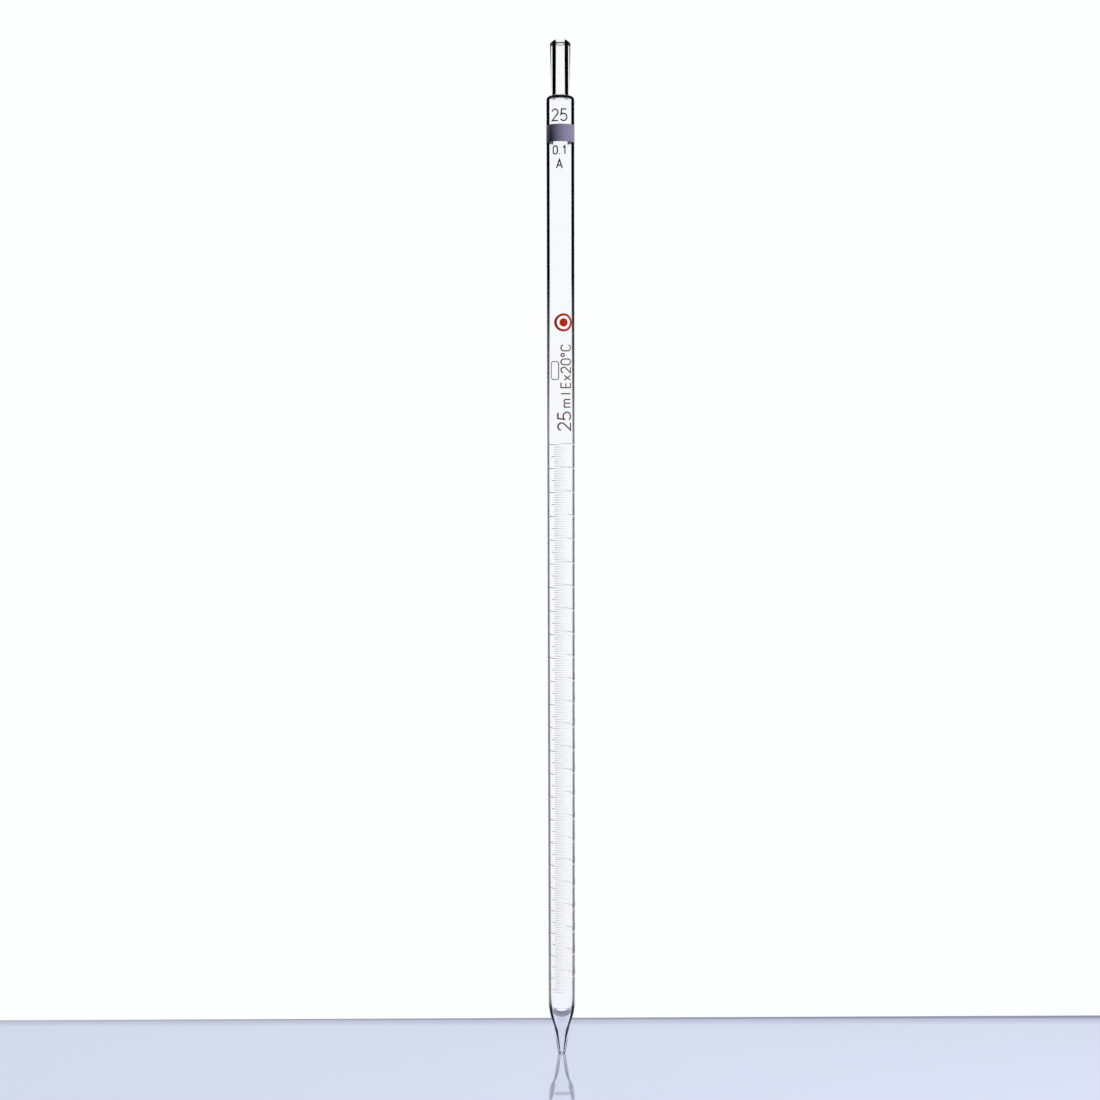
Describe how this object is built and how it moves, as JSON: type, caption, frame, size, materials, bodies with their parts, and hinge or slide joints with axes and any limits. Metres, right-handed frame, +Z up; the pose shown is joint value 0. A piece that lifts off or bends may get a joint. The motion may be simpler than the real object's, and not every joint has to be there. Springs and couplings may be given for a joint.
{
  "type": "graduated pipette",
  "caption": "Glass graduated pipette with a straight scaled barrel, a colour code band, a thick walled suction tube and a drawn delivery jet.",
  "frame": {"origin": "centre of the delivery jet's end face, on the tube's axis", "axes": "+Z up the tube's axis from the jet to the mouth, -Y out of the front, the side the scale faces, +X to the right of someone reading the scale"},
  "size_m": [0.0122, 0.0122, 0.45],
  "materials": {
    "clear_glass": "clear borosilicate glass, drawn and fire polished",
    "band_enamel": "fired enamel, satin",
    "grey_enamel": "fired enamel, satin",
    "red_enamel": "fired enamel, satin",
    "brown_enamel": "fired enamel, satin",
    "scale_enamel": "fired enamel, satin"
  },
  "bodies": {
    "root": {"capacity_inscription": "brown_enamel", "capacity_number": "grey_enamel", "class_letter": "grey_enamel", "colour_band": "band_enamel", "delivery_jet": "clear_glass", "division_value": "grey_enamel", "half_marks_00": "scale_enamel", "half_marks_05": "scale_enamel", "half_marks_10": "scale_enamel", "half_marks_15": "scale_enamel", "half_marks_20": "scale_enamel", "label_frame": "brown_enamel", "measuring_tube": "clear_glass", "numbers_00": "scale_enamel", "numbers_05": "scale_enamel", "numbers_10": "scale_enamel", "numbers_15": "scale_enamel", "numbers_20": "scale_enamel", "ring_emblem": "red_enamel", "ring_marks_00": "scale_enamel", "ring_marks_05": "scale_enamel", "ring_marks_10": "scale_enamel", "ring_marks_15": "scale_enamel", "ring_marks_20": "scale_enamel", "shoulder": "clear_glass", "suction_tube": "clear_glass", "temperature_inscription": "brown_enamel", "tenth_marks_00": "scale_enamel", "tenth_marks_05": "scale_enamel", "tenth_marks_10": "scale_enamel", "tenth_marks_15": "scale_enamel", "tenth_marks_20": "scale_enamel"}
  },
  "joints": []
}
